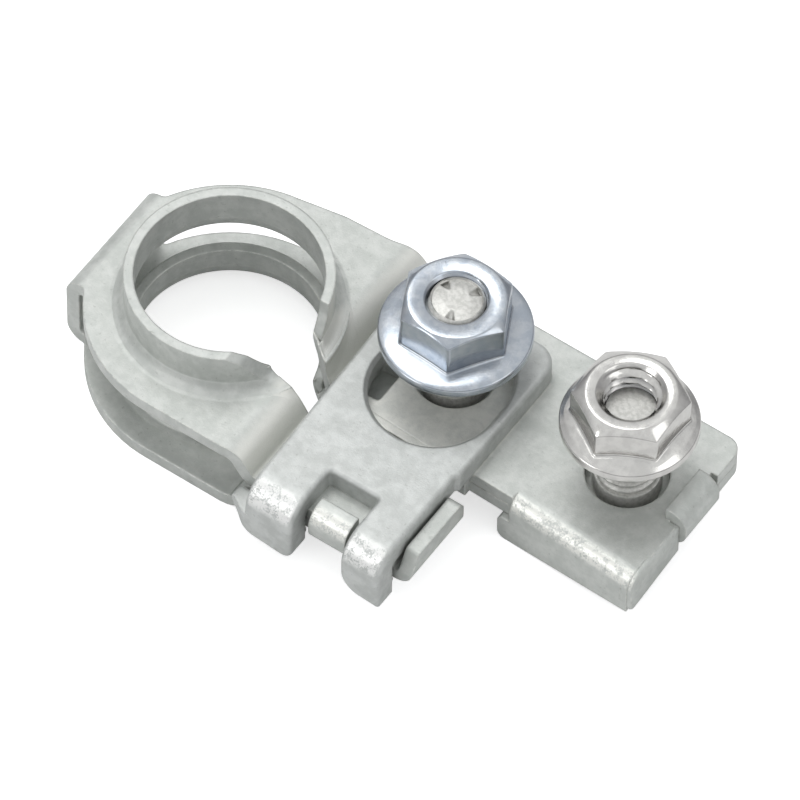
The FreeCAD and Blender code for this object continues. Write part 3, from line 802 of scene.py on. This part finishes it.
def closed_slab(name: str, upper: np.ndarray, lower: np.ndarray) -> bpy.types.Object:
    """Closed piece between two grids of points of the same shape.

    Args:
        name: Name of the piece.
        upper: Rows, columns and coordinates of the upper side, in millimetres.
        lower: The same for the lower side.

    Returns:
        The piece.
    """
    rows, columns = upper.shape[:2]
    count = rows * columns
    faces: list[Sequence[int]] = []
    for row in range(rows - 1):
        for column in range(columns - 1):
            a = row * columns + column
            quad = (a, a + 1, a + columns + 1, a + columns)
            faces.append(quad)
            faces.append(tuple(count + i for i in reversed(quad)))
    first_row = list(range(columns))
    last_column = [row * columns + columns - 1 for row in range(1, rows)]
    last_row = [(rows - 1) * columns + column for column in range(columns - 2, -1, -1)]
    first_column = [row * columns for row in range(rows - 2, 0, -1)]
    rim = first_row + last_column + last_row + first_column
    for a, b in zip(rim, rim[1:] + rim[:1]):
        faces.append((b, a, count + a, count + b))
    piece = new_piece(name, np.concatenate((upper.reshape(-1, 3), lower.reshape(-1, 3))), faces)
    smooth(piece, 40)
    return piece


def profile_slab(
    name: str, plan: Sequence[np.ndarray], over: np.ndarray, under: np.ndarray, inset: Sequence[float],
) -> bpy.types.Object:
    """Closed piece whose rows all have one upper and one lower line, drawn in near an end.

    Args:
        name: Name of the piece.
        plan: X and Y in millimetres, which together give rows and columns.
        over: Upper height of each column.
        under: Lower height of each column.
        inset: How far each row is drawn in from above and from below.

    Returns:
        The piece.
    """
    plan = np.broadcast_arrays(*plan)
    drawn = np.array(inset)[:, None]
    return closed_slab(name, np.dstack((*plan, over - drawn)), np.dstack((*plan, under + drawn)))


def bell(reach: int, width: float) -> np.ndarray:
    """Weights that sum to 1 for smoothing over a number of steps to each side."""
    weights = np.exp(-0.5 * (np.arange(-reach, reach + 1) / width) ** 2)
    return weights / weights.sum()


@dataclass
class CollarFeet:
    """Smooth bends where both ring plates are drawn up into their collars, in millimetres."""

    bore: float = 9.2
    wall: float = 1.0
    inner_root: float = 2.9
    outer_root: float = 1.4
    upper_plate: float = 1.4
    lower_plate: float = -6.4
    bend_start: float = 9.3
    ramp_angle: float = 58.17
    ramp_drop: float = 2.9
    ramp_bend: float = 1.05
    front_edge: float = -4.58
    spacing: float = 0.04
    first_row: int = 8
    last_row: int = 100
    foot_columns: int = 300
    inside_columns: int = 240
    below_sheet: float = -0.2
    proud: float = 0.012

    def fall(self, x: np.ndarray) -> np.ndarray:
        """How far the ramp's underside lies below the flat plate's.

        Args:
            x: Positions in millimetres.

        Returns:
            The drop, 0 on the flat plate.
        """
        slope, bend = math.radians(self.ramp_angle), self.ramp_bend
        run = np.clip(x - self.bend_start, 0.0, None)
        reach = bend * math.sin(slope)
        curved = bend - np.sqrt(np.maximum(bend ** 2 - np.minimum(run, reach) ** 2, 0.0))
        return np.minimum(curved + np.maximum(run - reach, 0.0) * math.tan(slope), self.ramp_drop)

    def rear_edge(self, x: np.ndarray) -> np.ndarray:
        """Y of the ring's opening on the rear arm's side."""
        across = [9.2, 10.0, 10.8, 11.6, 12.0, 12.4, 13.2]
        return np.interp(x, across, [0.86, 0.50, 0.02, -0.46, -0.66, -0.76, -0.80])

    def grid(self, radii: np.ndarray, columns: int) -> tuple[np.ndarray, ...]:
        """Grid from the rear edge of the opening round the ring to its front edge.

        Args:
            radii: Radius of each row.
            columns: Points in each row.

        Returns:
            Radius, X and Y of each point.
        """
        start = np.arcsin((self.rear_edge(radii) + 0.03) / radii)
        end = 2 * math.pi + np.arcsin(self.front_edge / radii)
        share = np.linspace(0.0, 1.0, columns)
        angles = start[:, None] + (end - start)[:, None] * share[None, :]
        reach = np.repeat(radii[:, None], columns, 1)
        return reach, reach * np.cos(angles), reach * np.sin(angles)

    def sheet_top(self, x: np.ndarray, y: np.ndarray) -> np.ndarray:
        """Height of the sheet's upper side, read from the frame's mesh.

        Args:
            x: Plan positions in millimetres, one row per radius.
            y: The same along Y.

        Returns:
            Heights in millimetres; a place past an edge takes the height beside it.
        """
        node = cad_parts["clamp_body"]
        tree = BVHTree.FromObject(node, bpy.context.evaluated_depsgraph_get())
        inward = node.matrix_world.inverted()
        down = inward.to_3x3() @ Vector((0, 0, -1))
        above = 20.0
        found = np.full(x.shape, self.lower_plate)
        for index in np.ndindex(x.shape):
            start = inward @ (Vector((x[index], y[index], above)) * MM)
            hit = tree.ray_cast(start, down)[0]
            if hit is not None:
                found[index] = (node.matrix_world @ hit).z / MM
        for row in range(1, len(found)):
            found[row] = self.filled(found[row], found[row - 1])
        columns = found.shape[1]
        for column in range(columns // 2, -1, -1):
            found[:, column] = self.filled(found[:, column], found[:, column + 1])
        for column in range(columns // 2, columns):
            found[:, column] = self.filled(found[:, column], found[:, column - 1])
        return found

    def filled(self, found: np.ndarray, beside: np.ndarray) -> np.ndarray:
        """Heights, or those beside them where a ray missed the upper layer."""
        return np.where(found < self.below_sheet, beside, found)

    def rolled(self, height: np.ndarray) -> np.ndarray:
        """Surface under a ball of the fillet's radius that rolls along each column.

        Args:
            height: Heights in millimetres, one row per radius.

        Returns:
            Heights in millimetres.
        """
        reach = int(self.outer_root / self.spacing)
        offsets = np.arange(-reach, reach + 1)
        ball = np.sqrt(np.maximum(self.outer_root ** 2 - (offsets * self.spacing) ** 2, 0.0))
        rows = len(height)
        padded = np.pad(height, ((reach, reach), (0, 0)), mode="edge")
        raised = np.max([padded[reach + o:reach + o + rows] + b for o, b in zip(offsets, ball)], axis=0)
        padded = np.pad(raised, ((reach, reach), (0, 0)), mode="edge")
        return np.min([padded[reach + o:reach + o + rows] - b for o, b in zip(offsets, ball)], axis=0)

    def fillet(self, radii: np.ndarray, sheet: np.ndarray) -> np.ndarray:
        """Height of the foot's upper side, which dips below the sheet where the fillet ends.

        Args:
            radii: Radius of each row in millimetres.
            sheet: Height of the sheet at each place.

        Returns:
            Heights in millimetres.
        """
        shape = self.rolled(sheet)
        near = radii[:, None] < self.bore + self.wall + 3.0
        raised = (shape - sheet > 0.012) & near
        last = len(radii) - 1 - np.argmax(raised[::-1], axis=0)
        last = np.where(raised.any(axis=0), last, int(1.5 / self.spacing))
        shape[:self.first_row] = shape[self.first_row]
        weights = bell(12, 0.16 / self.spacing)
        padded = np.pad(shape, ((12, 12), (0, 0)), mode="edge")
        shape = sum(padded[i:i + len(radii)] * weight for i, weight in enumerate(weights))
        end = np.convolve(np.pad(radii[last], 6, mode="edge"), bell(6, 3.0), mode="valid")
        away = np.clip((radii[:, None] - end) / 0.35, 0.0, 1.0)
        return (shape + 0.03) * (1 - away) + (sheet - 0.04) * away

    def outside(self) -> tuple[bpy.types.Object, np.ndarray]:
        """Fillet at the foot of the upper collar, also down the ramp.

        Returns:
            The piece, and X and height along its end beside the ring's opening.
        """
        foot = self.bore + self.wall
        radii = np.arange(foot - 0.3, foot + 4.9, self.spacing)
        _, x, y = self.grid(radii, self.foot_columns)
        sheet = self.sheet_top(x, y)
        top = self.fillet(radii, sheet)
        rows = slice(self.first_row - 2, self.last_row, 2)
        upper = np.dstack((x, y, top))[rows]
        lower = np.dstack((x, y, np.minimum(top, sheet) - 0.4))[rows]
        return closed_slab("upper_collar_foot", upper, lower), np.stack((x[:, 0], top[:, 0]))

    def inside(self, name: str, plate: float, over_ramp: bool) -> bpy.types.Object:
        """Rounded lower edge of a bore.

        Args:
            name: Name of the piece.
            plate: Height of the plate's underside in millimetres.
            over_ramp: True where the sheet falls away behind the ring, as the upper one does.

        Returns:
            The piece.
        """
        turn = np.linspace(0, math.pi / 2, 13)
        radii = self.bore + self.inner_root * (1 - np.cos(turn))
        reach, x, y = self.grid(radii, self.inside_columns)
        under = np.broadcast_to((plate + self.inner_root * (1 - np.sin(turn)))[:, None], x.shape)
        if over_ramp:
            under = under - self.fall(x)
        showing, buried = 1 - self.proud / reach, 1 + 0.25 / reach
        lower = np.dstack((x * showing, y * showing, under - self.proud))
        upper = np.dstack((x * buried, y * buried, under + (0.30 + 0.2 * np.sin(turn))[:, None]))
        return closed_slab(name, upper, lower)

    def free_end(self, edge: np.ndarray) -> bpy.types.Object:
        """Smooth cut face of the upper plate and collar root beside the ring's opening.

        Args:
            edge: X and height along the fillet's end there.

        Returns:
            The piece.
        """
        x = np.linspace(self.bore + 0.02, 14.2, 60)
        over = np.interp(x, *edge)
        wall_side = self.bore + self.wall + 0.04
        rim = np.interp(x, [self.bore, wall_side], [4.6, over[x > wall_side][0]])
        over = np.where(x < wall_side, rim, over)
        rise = np.clip((x - self.bore) / self.inner_root, 0.0, 1.0)
        root = self.inner_root * (1 - np.sqrt(1 - (1 - rise) ** 2))
        under = np.minimum(self.upper_plate + root - self.fall(x), over - 0.5)
        y = self.rear_edge(x) + np.array([-0.06, -0.04, 0.25])[:, None]
        return profile_slab("upper_collar_end", (x[None, :], y), over, under, (0.05, 0.0, 0.0))

    def build(self) -> list[bpy.types.Object]:
        """Make all three bands and the end face."""
        foot, edge = self.outside()
        return [
            foot,
            self.free_end(edge),
            self.inside("upper_collar_inside", self.upper_plate, True),
            self.inside("lower_collar_inside", self.lower_plate, False),
        ]


@dataclass
class LayerEdges:
    """Edges of the hidden lower layer where they show."""

    below_arm: float = -0.004
    below_layer: float = -1.6
    bottom: float = -3.1
    bend_start: float = -1.13
    bend_centre: float = -1.87
    bend_radius: float = 1.83
    corner_centre: float = -2.06
    corner_radius: float = 0.9

    def strip(self, name: str, outline: Sequence[tuple[float, float]], top: float) -> bpy.types.Object:
        """Flat strip of the sheet.

        Args:
            name: Name of the piece.
            outline: Four corners in plan, the front pair first, in millimetres.
            top: Height of the strip's upper side.

        Returns:
            The piece.
        """
        corners = np.array(outline, float).reshape(2, 2, 2)
        upper = np.dstack((corners, np.full((2, 2), top)))
        lower = np.dstack((corners, np.full((2, 2), self.bottom)))
        return closed_slab(name, upper, lower)

    def closure(self) -> bpy.types.Object:
        """Rounded end of the flange, which closes the tab's end below the upper layer."""
        y = np.array([-2.96, -2.94, -2.86, -2.7, -2.45, -2.1, -1.7, -1.13, 0.0, 2.0, 4.0, 5.08])
        off_bend = np.minimum(y - self.bend_start, 0.0)
        over = np.sqrt(np.maximum(self.bend_radius ** 2 - off_bend ** 2, 0.0)) + self.bend_centre
        off_corner = np.clip(self.corner_centre - y, 0.0, self.corner_radius)
        corner = self.corner_radius - np.sqrt(np.maximum(self.corner_radius ** 2 - off_corner ** 2, 0.0))
        under = np.interp(y, [-2.98, 5.1], [-5.1, -4.25]) + corner
        x = np.array([47.4, 48.42, 48.58, 48.70, 48.76])
        inset = (0.0, 0.0, 0.04, 0.14, 0.34)
        return profile_slab("tab_end_closure", (x[:, None], y[None, :]), over, under, inset)

    def build(self) -> list[bpy.types.Object]:
        """Make the strip behind the flange, the one along the rear arm and the tab's end."""
        behind = ((34.4, -0.52), (48.47, -1.49), (34.4, 0.65), (48.47, 0.65))
        along = ((14.2, -1.72), (28.9, -1.95), (14.2, -0.6), (28.9, -0.9))
        return [
            self.strip("flange_backing", behind, self.below_layer),
            self.strip("rear_arm_edge", along, self.below_arm),
            self.closure(),
        ]


# Studio


@dataclass
class Studio:
    """Pale floor, soft lamps and the camera at the photograph's angle.

    Angles are in degrees, distance in metres, scale in pixels per millimetre and target in millimetres.
    """

    azimuth: float = 34.154
    elevation: float = 54.832
    roll: float = 0.952
    distance: float = 1.0
    scale: float = 10.4573
    image_width: float = 800.0
    sensor: float = 36.0
    target: tuple[float, float, float] = (18.697, 1.805, 0.0)
    horizon: Colour = (0.27, 0.27, 0.28)
    zenith: Colour = (0.90, 0.91, 0.92)
    zenith_share: float = 0.75
    floor_half: float = 3000.0
    floor_tone: float = 0.80
    floor_glow: float = 0.62

    def axes(self) -> tuple[Vector, Vector, Vector]:
        """Right, up and forward of the camera."""
        az, el, roll = (math.radians(a) for a in (self.azimuth, self.elevation, self.roll))
        forward = Vector((-math.sin(az) * math.cos(el), math.cos(az) * math.cos(el), -math.sin(el)))
        right = Vector((math.cos(az), math.sin(az), 0.0))
        up = right.cross(forward)
        tilted = right * math.cos(roll) + up * math.sin(roll)
        upright = up * math.cos(roll) - right * math.sin(roll)
        return tilted, upright, forward

    def camera(self) -> None:
        """Place the camera; its lens gives the photograph's scale at the target."""
        right, up, forward = self.axes()
        data = bpy.data.cameras.new("camera")
        data.sensor_width = self.sensor
        data.lens = self.sensor * self.scale * self.distance / MM / self.image_width
        data.clip_start = 0.05
        data.clip_end = 20.0
        camera = bpy.data.objects.new("camera", data)
        place = Vector(self.target) * MM - forward * self.distance
        turn = Matrix((right, up, -forward)).transposed()
        camera.matrix_world = Matrix.Translation(place) @ turn.to_4x4()
        bpy.context.scene.collection.objects.link(camera)
        bpy.context.scene.camera = camera

    def lamp(self, name: str, place: tuple[float, float, float], size: float, power: float) -> None:
        """Add a soft square lamp that faces the object.

        Args:
            name: Name of the lamp.
            place: Position in metres.
            size: Side in metres.
            power: Power in watts.
        """
        data = bpy.data.lights.new(name, "AREA")
        data.size = size
        data.energy = power
        lamp = bpy.data.objects.new(name, data)
        aim = (Vector(self.target) * MM - Vector(place)).to_track_quat("-Z", "Y")
        lamp.matrix_world = Matrix.Translation(Vector(place)) @ aim.to_matrix().to_4x4()
        bpy.context.scene.collection.objects.link(lamp)

    def world(self) -> None:
        """Soft light from above, dimmer near the horizon."""
        world = bpy.data.worlds.new("studio")
        world.use_nodes = True
        nodes, links = world.node_tree.nodes, world.node_tree.links
        nodes.clear()
        place = nodes.new("ShaderNodeTexCoord")
        split = nodes.new("ShaderNodeSeparateXYZ")
        ramp = nodes.new("ShaderNodeValToRGB")
        low, high = ramp.color_ramp.elements
        low.position, low.color = 0.0, (*self.horizon, 1.0)
        high.position, high.color = self.zenith_share, (*self.zenith, 1.0)
        back = nodes.new("ShaderNodeBackground")
        output = nodes.new("ShaderNodeOutputWorld")
        links.new(place.outputs["Generated"], split.inputs[0])
        links.new(split.outputs[2], ramp.inputs[0])
        links.new(ramp.outputs[0], back.inputs[0])
        links.new(back.outputs[0], output.inputs[0])
        bpy.context.scene.world = world

    def floor(self) -> None:
        """Wide pale floor under the object, brightened for the camera alone."""
        half, low = self.floor_half, CAD_BOX[0].z / MM
        corners = np.array([(-half, -half, low), (half, -half, low), (half, half, low), (-half, half, low)])
        floor = new_piece("floor", corners, [(0, 1, 2, 3)])
        material = bpy.data.materials.new("floor")
        tree = ShaderTree(material)
        path = tree.add("ShaderNodeLightPath", {}, {}, "Is Camera Ray")
        through = Wire(tree, path.socket.node.outputs["Is Transmission Ray"])
        seen = (path + through).limited()
        tree.feed("Base Color", tree.paint((self.floor_tone,) * 3))
        tree.feed("Roughness", 0.9)
        tree.feed("Specular IOR Level", 0.0)
        tree.feed("Emission Color", tree.blend(seen, (0.0, 0.0, 0.0), (self.floor_glow,) * 3))
        tree.feed("Emission Strength", 1.0)
        floor.data.materials.append(material)

    def build(self) -> None:
        """Set up everything that isn't part of the object."""
        bpy.context.scene.view_settings.view_transform = "Standard"
        self.camera()
        self.world()
        self.floor()
        self.lamp("top_lamp", (-0.32, 0.16, 0.92), 0.5, 2.7)
        self.lamp("front_lamp", (-0.35, -0.85, 0.5), 0.4, 1.6)
        self.lamp("side_lamp", (0.85, 0.1, 0.7), 0.5, 0.8)


# Clamp


@dataclass
class Clamp:
    """The whole clamp: dressed frame nodes, turned pieces and edges."""

    sheet: TinPlate = TinPlate(
        "tin_plated_sheet", "tinned_sheet",
        rubbed_and_sheen=((41.2, 7.6, -4.0, 0.6), (21.9, 2.2, -15.2, -12.4)),
        slot_light_areas=((21.6, 8.2, -2.6, 12.0),),
    )
    lever: TinPlate = TinPlate(
        "tin_plated_lever", "tinned_lever",
        base=(0.48, 0.495, 0.48), pale=(0.59, 0.605, 0.59), wear_and_light=(0.90, 0.90, 0.88),
        rubbed_and_sheen=((16.0, 3.2, -16.8, -13.4), (27.0, 2.8, -16.8, -13.4)),
    )
    stud: StudMetal = StudMetal("dull_stud_metal", "stud_metal")
    zinc: PlatedNut = PlatedNut("blue_zinc_plating", "zinc_nut")
    nickel: PlatedNut = PlatedNut(
        "bright_nickel_plating", "nickel_nut",
        base=(0.59, 0.58, 0.56), tint=(0.68, 0.67, 0.645), gloss=0.11, shelter=2.2,
    )

    def dress_node(self, node: str, finish: Finish) -> None:
        """Give a frame node its finish."""
        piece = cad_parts[node]
        piece.data.materials.clear()
        piece.data.materials.append(finish.build())
        LOG.info("dressed %s", node)

    def fit(self, piece: bpy.types.Object, node: str, body: str, finish: Finish) -> None:
        """Let a detailed piece stand for a frame node.

        Args:
            piece: The new piece.
            node: The frame node that it replaces.
            body: The body that carries it.
            finish: Its finish.
        """
        piece.data.materials.append(finish.build())
        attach(piece, body)
        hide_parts(node)
        LOG.info("fitted %s on %s", piece.name, body)

    def build(self) -> None:
        """Make every piece in order."""
        self.dress_node("clamp_body", self.sheet)
        self.dress_node("clamping_lever", self.lever)
        for piece in CollarFeet().build() + LayerEdges().build():
            piece.data.materials.append(bpy.data.materials[self.sheet.name])
            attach(piece, "clamp")
            LOG.info("added %s", piece.name)
        clamp_stud = ThreadedStud("clamp_stud", 12.2, StudEnd.STAKED)
        self.fit(clamp_stud.build(), "clamp_stud", "clamp", self.stud)
        # The terminal nut slides without turning, so its 5.2 mm of travel is five whole turns of this pitch.
        matched = Thread(pitch=1.04)
        terminal_stud = ThreadedStud("terminal_stud", 10.5, StudEnd.PLAIN, thread=matched)
        self.fit(terminal_stud.build(), "terminal_stud", "clamp", self.stud)
        clamp_nut = FlangeNut("clamp_nut", 7.5, 4.7, 1.6, -3.0, sink=3.2)
        self.fit(clamp_nut.build(), "clamp_nut", "clamp_nut_body", self.zinc)
        terminal_nut = FlangeNut("terminal_nut", 6.75, 4.35, 2.1, 29.0, lift=(1.1, 0.5), thread=matched)
        self.fit(terminal_nut.build(), "terminal_nut", "terminal_nut_body", self.nickel)


def main() -> None:
    """Build the studio and the clamp."""
    logging.basicConfig(level=logging.INFO, format="%(name)s: %(message)s")
    Studio().build()
    Clamp().build()


if __name__ == "__main__":
    main()
